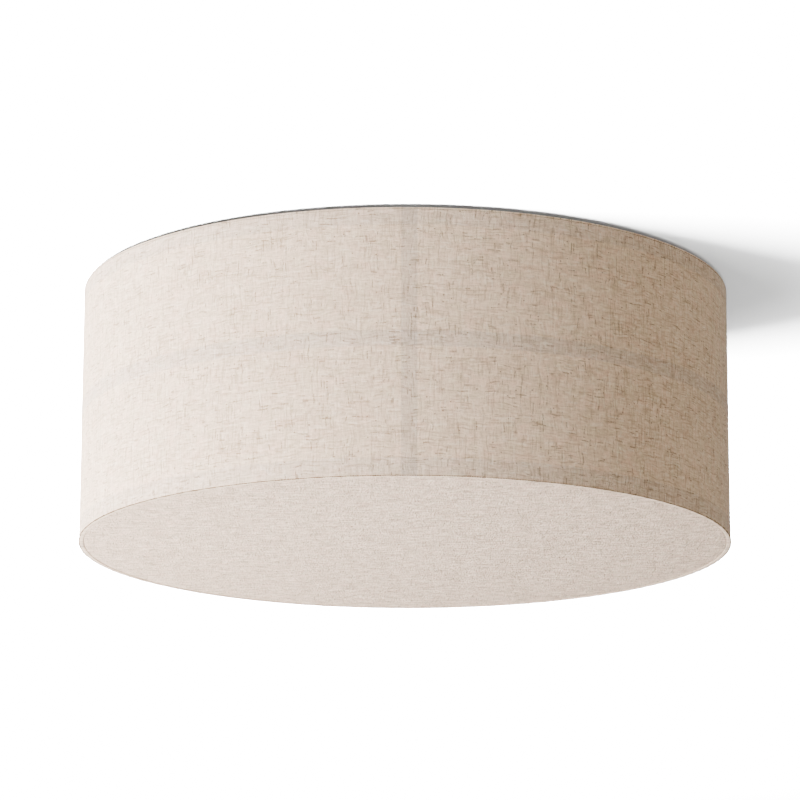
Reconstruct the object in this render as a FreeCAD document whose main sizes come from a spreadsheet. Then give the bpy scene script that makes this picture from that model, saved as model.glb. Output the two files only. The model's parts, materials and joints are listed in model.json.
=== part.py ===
import FreeCAD, Part
import math
import os
import Sketcher

# Flush mount ceiling light with a cloth drum shade, in millimetres.
# The origin is the centre of the plane where the light meets the ceiling.
# +Z points up, so the whole light lies below zero. -Y is the front.

V = FreeCAD.Vector
doc = FreeCAD.newDocument("flush_mount_ceiling_light")

# ---------------------------------------------------------------- sizes
SIZES = [
    # the drum shade
    ("shade_d", 500.0), ("overall_drop", 200.0), ("ceiling_gap", 1.5),
    ("cloth_t", 0.6), ("liner_t", 0.4), ("lay_gap", 0.05), ("hem_w", 12.0),
    ("ring_t", 1.5), ("ring_w", 12.0), ("mid_ring_drop", 92.4), ("rib_w", 11.0),
    # the diffuser in the lower hem
    ("diffuser_t", 3.0), ("diffuser_gap", 0.35), ("diffuser_recess", 0.6),
    ("turn_in", 12.0), ("clip_w", 20.0), ("clip_t", 1.2), ("clip_reach", 30.5),
    ("clip_rise", 12.7), ("clip_stud_r", 226.0), ("rivet_r", 1.5), ("rivet_z", 191.0),
    # hanger tabs and magnets
    ("tab_z", 8.6), ("tab_t", 1.2), ("tab_w", 20.0), ("tab_reach", 42.5),
    ("tab_rise", 6.0), ("tab_rivet_z", 5.4), ("magnet_at", 215.0), ("magnet_r", 10.0), ("magnet_t", 4.05),
    # the pressed ceiling pan
    ("pan_d", 470.0), ("pan_t", 1.2), ("recess_r", 76.0), ("recess_depth", 24.0),
    ("step_r", 200.0), ("step_depth", 3.0), ("grommet_hole_r", 12.0),
    ("bead_in", 104.0), ("bead_out", 184.0), ("bead_w", 18.0), ("bead_depth", 1.8),
    # the mounting crossbar
    ("bar_len", 150.0), ("bar_w", 20.0), ("bar_t", 2.0), ("slot_pitch", 88.9),
    ("slot_w", 4.8), ("slot_len", 14.0), ("stud_at", 62.0), ("stud_r", 2.5),
    ("stud_len", 34.0), ("earth_x", 28.0), ("earth_pan_y", 60.0),
    # terminal hub and wiring
    ("hub_r", 18.0), ("hub_flange_r", 24.0), ("way_r", 7.0), ("way_t", 3.5),
    ("lead_r", 1.0), ("grommet_r", 9.6),
    # lamp holders
    ("lamp_z", 64.0), ("holder_r", 20.0), ("holder_at", 46.0), ("holder_len", 45.0),
    ("plate_t", 1.5), ("plate_w", 36.0), ("nipple_r", 5.0), ("nipple_bore_r", 3.6),
    ("bracket_screw_at", 60.0), ("bracket_screw_t", 11.0),
    ("shell_r", 14.5), ("shell_bore_r", 13.4), ("pin_r", 2.0), ("pin_head_r", 4.5),
    # bulbs with a 26 mm screw cap
    ("cap_r", 13.03), ("cap_at", 73.0), ("cap_len", 19.0), ("globe_r", 30.0),
    ("globe_at", 142.0),
]

sheet = doc.addObject("Spreadsheet::Sheet", "dims")
for row, (alias, value) in enumerate(SIZES, 1):
    sheet.set("A%d" % row, alias)
    sheet.set("B%d" % row, "%g" % value)
    sheet.setAlias("B%d" % row, alias)
doc.recompute()


class Dim(object):
    """A length that keeps the sheet expression it comes from."""

    def __init__(self, value, text):
        self.value = float(value)
        self.text = text

    def __add__(self, o):
        o = dim(o)
        return Dim(self.value + o.value, "(%s + %s)" % (self.text, o.text))

    def __sub__(self, o):
        o = dim(o)
        return Dim(self.value - o.value, "(%s - %s)" % (self.text, o.text))

    def __radd__(self, o):
        return dim(o) + self

    def __rsub__(self, o):
        return dim(o) - self

    def __mul__(self, k):
        return Dim(self.value * k, "(%s * (%.9g))" % (self.text, k))

    def __rmul__(self, k):
        return self * k

    def __truediv__(self, k):
        return Dim(self.value / k, "(%s / %.9g)" % (self.text, k))

    def __neg__(self):
        return Dim(-self.value, "(0 - %s)" % self.text)

    def __float__(self):
        return self.value


def dim(v):
    return v if isinstance(v, Dim) else Dim(v, "(%.9g)" % v)


class Sizes(object):
    pass


S = Sizes()
for alias, value in SIZES:
    setattr(S, alias, Dim(value, "dims." + alias))


def bind(obj, prop, v):
    v = dim(v)
    setattr(obj, prop, v.value)
    if "dims." in v.text:
        obj.setExpression(prop, v.text)


# ---------------------------------------------------------------- sketch and feature helpers
def origin(body, role):
    for f in body.Origin.OriginFeatures:
        if f.Role == role:
            return f


def new_body(name):
    return doc.addObject("PartDesign::Body", name)


def new_sketch(body, role, name, offset=None):
    sk = body.newObject("Sketcher::SketchObject", name)
    sk.AttachmentSupport = (origin(body, role), [""])
    sk.MapMode = "FlatFace"
    if offset is not None:
        sk.AttachmentOffset = offset
    return sk


def pin(sk, geo, pos, x, y):
    for kind, v in (("DistanceX", dim(x)), ("DistanceY", dim(y))):
        n = sk.addConstraint(Sketcher.Constraint(kind, -1, 1, geo, pos, v.value))
        if "dims." in v.text:
            sk.setExpression("Constraints[%d]" % n, v.text)


def outline(sk, pts):
    """A closed outline of straight edges through the points."""
    first = sk.GeometryCount
    n = len(pts)
    for i in range(n):
        a, b = pts[i], pts[(i + 1) % n]
        sk.addGeometry(Part.LineSegment(V(float(a[0]), float(a[1]), 0), V(float(b[0]), float(b[1]), 0)), False)
    for i in range(n):
        sk.addConstraint(Sketcher.Constraint("Coincident", first + i, 2, first + (i + 1) % n, 1))
    for i in range(n):
        pin(sk, first + i, 1, pts[i][0], pts[i][1])


def circle(sk, x, y, r):
    r = dim(r)
    g = sk.addGeometry(Part.Circle(V(float(x), float(y), 0), V(0, 0, 1), r.value), False)
    pin(sk, g, 3, x, y)
    n = sk.addConstraint(Sketcher.Constraint("Radius", g, r.value))
    if "dims." in r.text:
        sk.setExpression("Constraints[%d]" % n, r.text)


def hexagon(sk, x, y, across_flats):
    r = across_flats / math.sqrt(3.0)
    outline(sk, [(x + r * math.cos(math.radians(60 * k)), y + r * math.sin(math.radians(60 * k))) for k in range(6)])


def turned(name, pts, axis="V_Axis", role="XZ_Plane"):
    """A piece turned from an outline: V_Axis is the upright axis, H_Axis the level one."""
    body = new_body(name)
    sk = new_sketch(body, role, name + "_profile")
    outline(sk, pts)
    rev = body.newObject("PartDesign::Revolution", name + "_turn")
    rev.Profile = sk
    rev.ReferenceAxis = (sk, [axis])
    rev.Angle = 360
    body.Tip = rev
    return body


def pad(body, sk, length, down=False, both=False):
    p = body.newObject("PartDesign::Pad", sk.Name + "_pad")
    p.Profile = sk
    bind(p, "Length", length)
    p.Reversed = down
    p.Midplane = both
    body.Tip = p
    return p


def pocket(body, sk, length=None, into_plus=True, must_cut=True):
    """A pocket: through everything both ways, or a length to the plane's + or - side."""
    doc.recompute()
    before = body.Shape.Volume
    p = body.newObject("PartDesign::Pocket", sk.Name + "_pocket")
    p.Profile = sk
    if length is None:
        p.Type = "ThroughAll"
        p.Midplane = True
    else:
        p.Type = "Length"
        bind(p, "Length", length)
        p.Reversed = into_plus
    body.Tip = p
    doc.recompute()
    if must_cut and not body.Shape.Volume < before - 1e-3:
        raise RuntimeError(sk.Name + " cuts nothing")
    return p


def polar(body, feature, count, axis="Z_Axis"):
    p = body.newObject("PartDesign::PolarPattern", feature.Name + "_ring")
    p.Originals = [feature]
    p.Axis = (origin(body, axis), [""])
    p.Angle = 360
    p.Occurrences = count
    body.Tip = p
    return p


def at(x=0.0, y=0.0, z=0.0, turn=0.0, rot=None):
    """A place; turn is about the upright axis in degrees."""
    r = FreeCAD.Rotation(V(0, 0, 1), turn)
    if rot is not None:
        r = r.multiply(rot)
    return FreeCAD.Placement(V(float(x), float(y), float(z)), r)


def polar_at(r, t, z, turn):
    """A place at radius r and sideways offset t along the heading turn."""
    a = math.radians(turn)
    return at(float(r) * math.cos(a) - float(t) * math.sin(a),
              float(r) * math.sin(a) + float(t) * math.cos(a), z, turn)


NODES = []


def node(label, obj):
    obj.Label = label
    NODES.append((label, obj))
    return obj


def group(label, pieces):
    g = doc.addObject("Part::Compound", label)
    g.Links = pieces
    return node(label, g)


def copies(label, make, places):
    pieces = []
    for k, place in enumerate(places, 1):
        p = make("%s_%d" % (label, k))
        p.Placement = place
        pieces.append(p)
    return group(label, pieces)


HEADINGS = (90.0, 210.0, 330.0)      # the three lamps
QUARTERS = (0.0, 90.0, 180.0, 270.0)  # tabs, clips and ribs


# ---------------------------------------------------------------- drum shade
outer = S.shade_d / 2
wall_in = outer - S.cloth_t
liner_out = wall_in - S.lay_gap
liner_in = liner_out - S.liner_t
ring_out = liner_in - S.lay_gap
ring_in = ring_out - S.ring_t
flap_out = ring_in - S.lay_gap
flap_in = flap_out - S.cloth_t
top = -S.ceiling_gap
bottom = -S.overall_drop
fold_top = top - S.cloth_t
fold_bottom = bottom + S.cloth_t

# The cloth is one piece: the wall, and a hem folded in over the top and bottom rings.
cloth = turned("drum_fabric_body", [
    (outer, top), (outer, bottom), (flap_in, bottom), (flap_in, bottom + S.hem_w),
    (flap_out, bottom + S.hem_w), (flap_out, fold_bottom), (wall_in, fold_bottom),
    (wall_in, fold_top), (flap_out, fold_top), (flap_out, top - S.hem_w),
    (flap_in, top - S.hem_w), (flap_in, top)])
sk = new_sketch(cloth, "YZ_Plane", "drum_fabric_rivet_holes")
circle(sk, 0, -S.tab_rivet_z, S.rivet_r + 0.1)
circle(sk, 0, -S.rivet_z, S.rivet_r + 0.1)
polar(cloth, pocket(cloth, sk, wall_in - 0.2), 4)
node("drum_fabric", cloth)

node("drum_liner", turned("drum_liner_body", [
    (liner_in, fold_top - S.lay_gap), (liner_out, fold_top - S.lay_gap),
    (liner_out, fold_bottom + S.lay_gap), (liner_in, fold_bottom + S.lay_gap)]))


def strip_ring(name, z_top, rivet_z=None):
    body = turned(name + "_body", [(ring_in, z_top), (ring_out, z_top),
                                   (ring_out, z_top - S.ring_w), (ring_in, z_top - S.ring_w)])
    if rivet_z is not None:
        sk = new_sketch(body, "YZ_Plane", name + "_rivet_holes")
        circle(sk, 0, rivet_z, S.rivet_r + 0.1)
        polar(body, pocket(body, sk, outer), 4)
    return node(name, body)


top_ring_z = fold_top - S.lay_gap
bottom_ring_z = fold_bottom + S.lay_gap + S.ring_w
strip_ring("top_ring", top_ring_z, -S.tab_rivet_z)
strip_ring("middle_ring", -S.mid_ring_drop)
strip_ring("bottom_ring", bottom_ring_z, -S.rivet_z)


def rib_strip(name, z_top, z_bottom):
    box = doc.addObject("Part::Box", name)
    bind(box, "Length", S.ring_t - 0.1)
    bind(box, "Width", S.rib_w)
    bind(box, "Height", z_top - z_bottom)
    return box


for name, turn in (("rib_right", 0.0), ("rib_back", 90.0), ("rib_left", 180.0), ("rib_front", 270.0)):
    upper_top = top_ring_z - S.ring_w - S.lay_gap
    upper_end = -S.mid_ring_drop + S.lay_gap
    lower_top = -S.mid_ring_drop - S.ring_w - S.lay_gap
    lower_end = bottom_ring_z + S.lay_gap
    upper = rib_strip(name + "_upper", upper_top, upper_end)
    upper.Placement = polar_at(ring_in, -S.rib_w / 2, upper_end, turn)
    lower = rib_strip(name + "_lower", lower_top, lower_end)
    lower.Placement = polar_at(ring_in, -S.rib_w / 2, lower_end, turn)
    group(name, [upper, lower])


def angle_plate(name, pts, width):
    """A bent strip whose side view is given, centred on the heading."""
    body = new_body(name)
    sk = new_sketch(body, "XZ_Plane", name + "_side")
    outline(sk, pts)
    pad(body, sk, width, both=True)
    return body


seat = flap_in - 0.25


def hanger_tab(name):
    b = angle_plate(name, [
        (seat - S.tab_reach, -S.tab_z - S.tab_t), (seat, -S.tab_z - S.tab_t), (seat, -S.tab_z + S.tab_rise),
        (seat - S.tab_t, -S.tab_z + S.tab_rise), (seat - S.tab_t, -S.tab_z),
        (seat - S.tab_reach, -S.tab_z)], S.tab_w)
    sk = new_sketch(b, "YZ_Plane", name + "_rivet_hole")
    circle(sk, 0, -S.tab_rivet_z, S.rivet_r + 0.05)
    pocket(b, sk, outer)
    return b


copies("hanger_tabs", hanger_tab, [at(turn=a) for a in QUARTERS])

# Diffuser: an opal sheet with cloth stretched under it and turned in over its edge.
disc_r = flap_in - S.diffuser_gap
panel_r = disc_r - S.cloth_t - S.lay_gap
disc_low = bottom + S.diffuser_recess
panel_low = disc_low + S.cloth_t + S.lay_gap
panel_top = panel_low + S.diffuser_t
fold_low = panel_top + S.lay_gap
fold_high = fold_low + S.cloth_t
node("diffuser_panel", turned("diffuser_panel_body", [
    (0, panel_low), (panel_r, panel_low), (panel_r, panel_top), (0, panel_top)]))
node("diffuser_fabric", turned("diffuser_fabric_body", [
    (0, disc_low), (disc_r, disc_low), (disc_r, fold_high), (disc_r - S.turn_in, fold_high),
    (disc_r - S.turn_in, fold_low), (panel_r + S.lay_gap, fold_low),
    (panel_r + S.lay_gap, panel_low - S.lay_gap), (0, panel_low - S.lay_gap)]))

clip_low = fold_high + 0.15


def diffuser_bracket(name):
    b = angle_plate(name, [
        (seat - S.clip_reach, clip_low), (seat, clip_low), (seat, clip_low + S.clip_rise),
        (seat - S.clip_t, clip_low + S.clip_rise), (seat - S.clip_t, clip_low + S.clip_t),
        (seat - S.clip_reach, clip_low + S.clip_t)], S.clip_w)
    sk = new_sketch(b, "YZ_Plane", name + "_rivet_hole")
    circle(sk, 0, -S.rivet_z, S.rivet_r + 0.05)
    pocket(b, sk, outer)
    sk = new_sketch(b, "XY_Plane", name + "_stud_hole")
    circle(sk, S.clip_stud_r, 0, 2.3)
    pocket(b, sk)
    return b


copies("diffuser_brackets", diffuser_bracket, [at(turn=a) for a in QUARTERS])
copies("diffuser_studs", lambda n: turned(n, [
    (0, 0), (7.0, 0), (7.0, 0.7), (2.0, 0.7), (2.0, 9.6), (1.6, 10.0), (0, 10.0)]),
    [polar_at(S.clip_stud_r, 0, float(panel_top) + 0.02, a) for a in QUARTERS])


def hex_nut(name, across_flats, height, bore_r):
    body = new_body(name)
    sk = new_sketch(body, "XY_Plane", name + "_hex")
    hexagon(sk, 0, 0, across_flats)
    circle(sk, 0, 0, bore_r)
    pad(body, sk, height)
    return body


copies("diffuser_nuts", lambda n: hex_nut(n, 7.0, 3.2, 2.05),
       [polar_at(S.clip_stud_r, 0, clip_low + S.clip_t + 0.03, a) for a in QUARTERS])

# Rivets of the shade frame: head inside, shank through plate, hem and ring.
rivet_len = ring_out - (seat - S.tab_t)


def rivet(name):
    return turned(name, [
        (-0.75, 0), (-0.6, 1.3), (-0.05, 2.4), (-0.02, 2.4), (-0.02, S.rivet_r),
        (rivet_len - 0.05, S.rivet_r), (rivet_len - 0.05, 0)], axis="H_Axis")


copies("frame_rivets", rivet,
       [polar_at(seat - S.tab_t, 0, z, a) for z in (-S.tab_rivet_z, -S.rivet_z) for a in QUARTERS])

# ---------------------------------------------------------------- ceiling pan
# The flat ring lies on the ceiling. The middle is pressed down for the wiring,
# and a channel near the rim leaves room for the magnets' nuts.
rim = S.pan_d / 2
wall_run = 6.0
slope = 4.0
pan = turned("ceiling_pan_body", [
    (S.grommet_hole_r, -S.recess_depth), (S.recess_r, -S.recess_depth), (S.recess_r + wall_run, 0),
    (S.step_r - slope, 0), (S.step_r, -S.step_depth), (rim - 6.0, -S.step_depth), (rim - 3.0, 0), (rim, 0),
    (rim, -S.pan_t), (rim - 2.4, -S.pan_t), (rim - 5.5, -S.step_depth - S.pan_t),
    (S.step_r - 0.5, -S.step_depth - S.pan_t), (S.step_r - slope - 0.5, -S.pan_t),
    (S.recess_r + wall_run + 0.9, -S.pan_t), (S.recess_r + 0.9, -S.recess_depth - S.pan_t),
    (S.grommet_hole_r, -S.recess_depth - S.pan_t)])
sk = new_sketch(pan, "XY_Plane", "pan_holes")
circle(sk, S.stud_at, 0, S.stud_r + 0.25)
circle(sk, -S.stud_at, 0, S.stud_r + 0.25)
circle(sk, 21.0, 0, 1.6)
circle(sk, -21.0, 0, 1.6)
circle(sk, S.earth_x, -S.earth_pan_y, 2.05)
for a in HEADINGS:
    c, s = math.cos(math.radians(a)), math.sin(math.radians(a))
    for side in (-1.0, 1.0):
        circle(sk, S.bracket_screw_at * c - S.bracket_screw_t * (side * s),
               S.bracket_screw_at * s + S.bracket_screw_t * (side * c), 2.05)
for a in QUARTERS:
    c, s = round(math.cos(math.radians(a))), round(math.sin(math.radians(a)))
    circle(sk, S.magnet_at * c, S.magnet_at * s, 2.15)
pocket(pan, sk)


def bead_outline(sk, half_w, inset):
    near, far, cut = S.bead_in + inset, S.bead_out - inset, 4.0
    outline(sk, [(near, -half_w + cut), (near + cut, -half_w), (far - cut, -half_w), (far, -half_w + cut),
                 (far, half_w - cut), (far - cut, half_w), (near + cut, half_w), (near, half_w - cut)])


# Eight stiffening beads are pressed down between the wiring well and the rim.
aslant = FreeCAD.Rotation(V(0, 0, 1), 22.5)
sk = new_sketch(pan, "XY_Plane", "pan_bead_outside", FreeCAD.Placement(V(0, 0, -float(S.pan_t)), aslant))
bead_outline(sk, S.bead_w / 2, 0.0)
polar(pan, pad(pan, sk, S.bead_depth, down=True), 8)
doc.recompute()
sk = new_sketch(pan, "XY_Plane", "pan_bead_inside", FreeCAD.Placement(V(0, 0, 0), aslant))
bead_outline(sk, S.bead_w / 2 - S.pan_t, 1.2)
polar(pan, pocket(pan, sk, S.bead_depth, into_plus=False), 8)
node("ceiling_pan", pan)

# ---------------------------------------------------------------- crossbar and its studs
bar = new_body("mounting_crossbar_body")
sk = new_sketch(bar, "XY_Plane", "crossbar_plate")
half, side = S.bar_len / 2, S.bar_w / 2
outline(sk, [(-half + 4, -side), (half - 4, -side), (half, -side + 4), (half, side - 4),
             (half - 4, side), (-half + 4, side), (-half, side - 4), (-half, -side + 4)])
pad(bar, sk, S.bar_t, down=True)
run = (S.slot_len - S.slot_w) / 2
sk = new_sketch(bar, "XY_Plane", "crossbar_slot_ends")
for k in (-1.0, 1.0):
    circle(sk, S.slot_pitch * (k / 2) - run, 0, S.slot_w / 2)
    circle(sk, S.slot_pitch * (k / 2) + run, 0, S.slot_w / 2)
    circle(sk, S.stud_at * k, 0, S.stud_r + 0.02)
circle(sk, S.earth_x, 0, 2.05)
pocket(bar, sk)
sk = new_sketch(bar, "XY_Plane", "crossbar_slots")
for k in (-1.0, 1.0):
    mid = S.slot_pitch * (k / 2)
    outline(sk, [(mid - run, -S.slot_w / 2), (mid + run, -S.slot_w / 2),
                 (mid + run, S.slot_w / 2), (mid - run, S.slot_w / 2)])
pocket(bar, sk)
node("mounting_crossbar", bar)

copies("crossbar_studs", lambda n: turned(n, [
    (0, -0.05), (S.stud_r, -0.05), (S.stud_r, -S.stud_len + 0.8), (S.stud_r - 0.8, -S.stud_len), (0, -S.stud_len)]),
    [at(x=k * float(S.stud_at)) for k in (1, -1)])
copies("stud_jam_nuts", lambda n: hex_nut(n, 8.0, 4.0, S.stud_r + 0.02),
       [at(x=k * float(S.stud_at), z=-float(S.bar_t) - 4.05) for k in (1, -1)])


def cap_nut(name):
    body = new_body(name)
    sk = new_sketch(body, "XY_Plane", name + "_hex")
    hexagon(sk, 0, 0, 8.0)
    pad(body, sk, 5.0, down=True)
    doc.recompute()
    sk = new_sketch(body, "XZ_Plane", name + "_dome_profile")
    outline(sk, [(0, -4.9), (3.9, -4.9), (3.8, -6.9), (3.5, -8.6), (2.8, -10.1), (1.9, -11.0), (0.9, -11.45), (0, -11.6)])
    dome = body.newObject("PartDesign::Revolution", name + "_dome")
    dome.Profile = sk
    dome.ReferenceAxis = (sk, ["V_Axis"])
    dome.Angle = 360
    body.Tip = dome
    sk = new_sketch(body, "XY_Plane", name + "_bore")
    circle(sk, 0, 0, S.stud_r + 0.02)
    pocket(body, sk, 9.0, into_plus=False)
    return body


pan_under = -(S.recess_depth + S.pan_t)
copies("cap_nuts", cap_nut, [at(x=k * float(S.stud_at), z=float(pan_under) - 0.03) for k in (1, -1)])


# ---------------------------------------------------------------- earth bond
def machine_screw(name, r, length, head_r, head_t, recess):
    """Head below zero, shank up: a pan head with a cross recess."""
    body = turned(name, [(0, 0), (head_r, 0), (head_r, -head_t * 0.55), (head_r * 0.72, -head_t), (0, -head_t)])
    doc.recompute()
    sk = new_sketch(body, "XY_Plane", name + "_shank")
    circle(sk, 0, 0, r)
    pad(body, sk, length)
    doc.recompute()
    w = recess / 5.0
    q = recess / 2.0
    sk = new_sketch(body, "XY_Plane", name + "_cross", FreeCAD.Placement(V(0, 0, -head_t - 0.1), FreeCAD.Rotation()))
    outline(sk, [(-q, -w), (-w, -w), (-w, -q), (w, -q), (w, -w), (q, -w),
                 (q, w), (w, w), (w, q), (-w, q), (-w, w), (-q, w)])
    pocket(body, sk, head_t * 0.5, into_plus=True)
    return body


FLIP = FreeCAD.Rotation(V(1, 0, 0), 180)
earth_a = machine_screw("earth_screw_bar", 2.0, 2.9, 3.8, 2.4, 4.0)
earth_a.Placement = at(x=S.earth_x, z=-float(S.bar_t) - 1.1)
earth_b = machine_screw("earth_screw_pan", 2.0, 6.4, 3.8, 2.4, 4.0)
earth_b.Placement = at(x=S.earth_x, y=-float(S.earth_pan_y), z=-float(S.recess_depth) + 1.1, rot=FLIP)
group("earth_screws", [earth_a, earth_b])


def ring_terminal(name):
    """A crimped eye: the eye at the origin, its barrel along +X on the upper side."""
    eye = doc.addObject("Part::Cylinder", name + "_eye")
    eye.Radius, eye.Height = 4.2, 1.0
    tongue = doc.addObject("Part::Box", name + "_tongue")
    tongue.Length, tongue.Width, tongue.Height = 9.5, 3.2, 1.0
    tongue.Placement = at(x=1.0, y=-1.6)
    barrel = doc.addObject("Part::Cylinder", name + "_barrel")
    barrel.Radius, barrel.Height = 1.7, 5.0
    barrel.Placement = at(x=8.0, z=1.7, rot=FreeCAD.Rotation(V(0, 1, 0), 90))
    solid = doc.addObject("Part::MultiFuse", name + "_blank")
    solid.Shapes = [eye, tongue, barrel]
    hole = doc.addObject("Part::Cylinder", name + "_hole")
    hole.Radius, hole.Height = 2.1, 3.0
    hole.Placement = at(z=-1.0)
    wire = doc.addObject("Part::Cylinder", name + "_wire_hole")
    wire.Height = 4.5
    bind(wire, "Radius", S.lead_r + 0.04)
    wire.Placement = at(x=8.8, z=1.7, rot=FreeCAD.Rotation(V(0, 1, 0), 90))
    cuts = doc.addObject("Part::MultiFuse", name + "_cuts")
    cuts.Shapes = [hole, wire]
    cut = doc.addObject("Part::Cut", name)
    cut.Base, cut.Tool = solid, cuts
    return cut


term_a = ring_terminal("earth_terminal_bar")
term_a.Placement = at(x=S.earth_x, z=-float(S.bar_t) - 0.05, turn=-90.0, rot=FLIP)
term_b = ring_terminal("earth_terminal_pan")
term_b.Placement = at(x=S.earth_x, y=-float(S.earth_pan_y), z=-float(S.recess_depth) + 0.05, turn=90.0)
group("earth_terminals", [term_a, term_b])


# ---------------------------------------------------------------- leads held inside
def lead(pts, r, label):
    """A tube along straight runs joined by tangent arcs."""
    pts = [V(*p) for p in pts]
    runs = [(pts[i + 1] - pts[i]).Length for i in range(len(pts) - 1)]
    edges, start, radii = [], pts[0], []
    for i in range(1, len(pts) - 1):
        a = (pts[i - 1] - pts[i]).normalize()
        b = (pts[i + 1] - pts[i]).normalize()
        turn = math.pi - a.getAngle(b)
        back = 0.45 * min(runs[i - 1], runs[i])
        radius = back / math.tan(turn / 2)
        radii.append(radius)
        p1, p2 = pts[i] + a * back, pts[i] + b * back
        mid = (a + b).normalize()
        centre = pts[i] + mid * (radius / math.cos(turn / 2))
        top_of_arc = centre - mid * radius
        edges.append(Part.LineSegment(start, p1).toShape())
        edges.append(Part.Arc(p1, top_of_arc, p2).toShape())
        start = p2
    edges.append(Part.LineSegment(start, pts[-1]).toShape())
    path = Part.Wire(edges)
    ring = Part.Wire([Part.Circle(pts[0], pts[1] - pts[0], r).toShape()])
    tube = path.makePipeShell([ring], True, False)
    length = path.Length
    error = abs(tube.Volume / (math.pi * r * r * length) - 1)
    print("%s: length %.1f mm, arc radii %s mm, volume error %.4f" %
          (label, length, ["%.1f" % q for q in radii], error))
    if error > 0.002:
        raise RuntimeError(label + " is not a true tube")
    return tube


def lead_set(label, side):
    tubes = []
    for a in HEADINGS:
        c, s = math.cos(math.radians(a)), math.sin(math.radians(a))
        route = [(float(S.way_r), float(S.way_t), -17.0), (7.2, 3.4, -38.0), (15.0, 2.6, -56.0),
                 (33.0, 1.7, -63.4), (52.6, 1.6, -64.05)]
        pts = [(r * c - side * t * s, r * s + side * t * c, z) for r, t, z in route]
        tubes.append(lead(pts, float(S.lead_r), "%s %g" % (label, a)))
    obj = doc.addObject("Part::Feature", label)
    obj.Shape = Part.makeCompound(tubes)
    return node(label, obj)


lead_set("leads_live", 1.0)
lead_set("leads_neutral", -1.0)
ex, ey = float(S.earth_x), float(S.earth_pan_y)
z_a, z_b = -float(S.bar_t) - 1.75, -float(S.recess_depth) + 1.75
earth = doc.addObject("Part::Feature", "earth_lead")
earth.Shape = lead([(ex, -9.5, z_a), (ex, -22.0, z_a), (ex, -ey + 23.0, z_b), (ex, -ey + 10.5, z_b)],
                   float(S.lead_r), "earth_lead")
node("earth_lead", earth)

# ---------------------------------------------------------------- terminal hub
floor = -S.recess_depth
hub = turned("terminal_hub_body", [
    (0, floor + 12.0), (S.hub_r - 1, floor + 12.0), (S.hub_r, floor + 11.0), (S.hub_r, floor + 3.5),
    (S.hub_flange_r, floor + 3.5), (S.hub_flange_r, floor + 0.05), (14.3, floor + 0.05),
    (14.3, floor + 1.8), (0, floor + 1.8)])
ways = []
for a in HEADINGS:
    c, s = math.cos(math.radians(a)), math.sin(math.radians(a))
    for side in (-1.0, 1.0):
        ways.append((S.way_r * c - S.way_t * (side * s), S.way_r * s + S.way_t * (side * c)))
sk = new_sketch(hub, "XY_Plane", "hub_ways")
for x, y in ways:
    circle(sk, x, y, S.lead_r + 0.15)
circle(sk, 21.0, 0, 1.6)
circle(sk, -21.0, 0, 1.6)
pocket(hub, sk)
sk = new_sketch(hub, "XY_Plane", "hub_screw_bores", FreeCAD.Placement(V(0, 0, -15.0), FreeCAD.Rotation()))
for x, y in ways:
    circle(sk, x, y, 1.55)
pocket(hub, sk, 6.0, into_plus=True)
node("terminal_hub", hub)
hub_top = float(floor) + 12.0
copies("terminal_screws", lambda n: machine_screw(n, 1.5, 2.8, 2.6, 1.6, 3.0),
       [at(x=x, y=y, z=hub_top + 0.03, rot=FLIP) for x, y in ways])
copies("hub_screws", lambda n: machine_screw(n, 1.5, 8.0, 2.8, 1.8, 3.2),
       [at(x=k * 21.0, z=float(floor) + 3.53, rot=FLIP) for k in (1, -1)])
node("cable_grommet", turned("cable_grommet_body", [
    (S.grommet_r, floor + 1.6), (13.6, floor + 1.6), (14.0, floor + 1.2), (14.0, floor + 0.05),
    (S.grommet_hole_r - 0.05, floor + 0.05), (S.grommet_hole_r - 0.05, floor - 1.25), (14.0, floor - 1.25),
    (14.0, floor - 2.4), (13.6, floor - 2.8), (S.grommet_r, floor - 2.8)]))

# ---------------------------------------------------------------- lamp holders
plate_x = S.holder_at - 0.05 - S.plate_t
hang = pan_under - 0.03


def holder_bracket(name):
    body = angle_plate(name, [
        (plate_x, hang), (72.0, hang), (72.0, hang - S.plate_t), (plate_x + S.plate_t, hang - S.plate_t),
        (plate_x + S.plate_t, -S.lamp_z - 16.0), (plate_x, -S.lamp_z - 16.0)], S.plate_w)
    sk = new_sketch(body, "YZ_Plane", name + "_nipple_hole")
    circle(sk, 0, -S.lamp_z, S.nipple_r + 0.05)
    pocket(body, sk)
    sk = new_sketch(body, "XY_Plane", name + "_screw_holes")
    circle(sk, S.bracket_screw_at, S.bracket_screw_t, 2.15)
    circle(sk, S.bracket_screw_at, -S.bracket_screw_t, 2.15)
    pocket(body, sk)
    return body


copies("holder_brackets", holder_bracket, [at(turn=a) for a in HEADINGS])
copies("bracket_screws", lambda n: machine_screw(n, 2.0, 7.0, 3.6, 2.4, 4.0),
       [polar_at(S.bracket_screw_at, k * float(S.bracket_screw_t), hang - S.plate_t - 0.03, a)
        for a in HEADINGS for k in (1, -1)])


def lamp_axis(a):
    return at(z=-float(S.lamp_z), turn=a)


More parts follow.
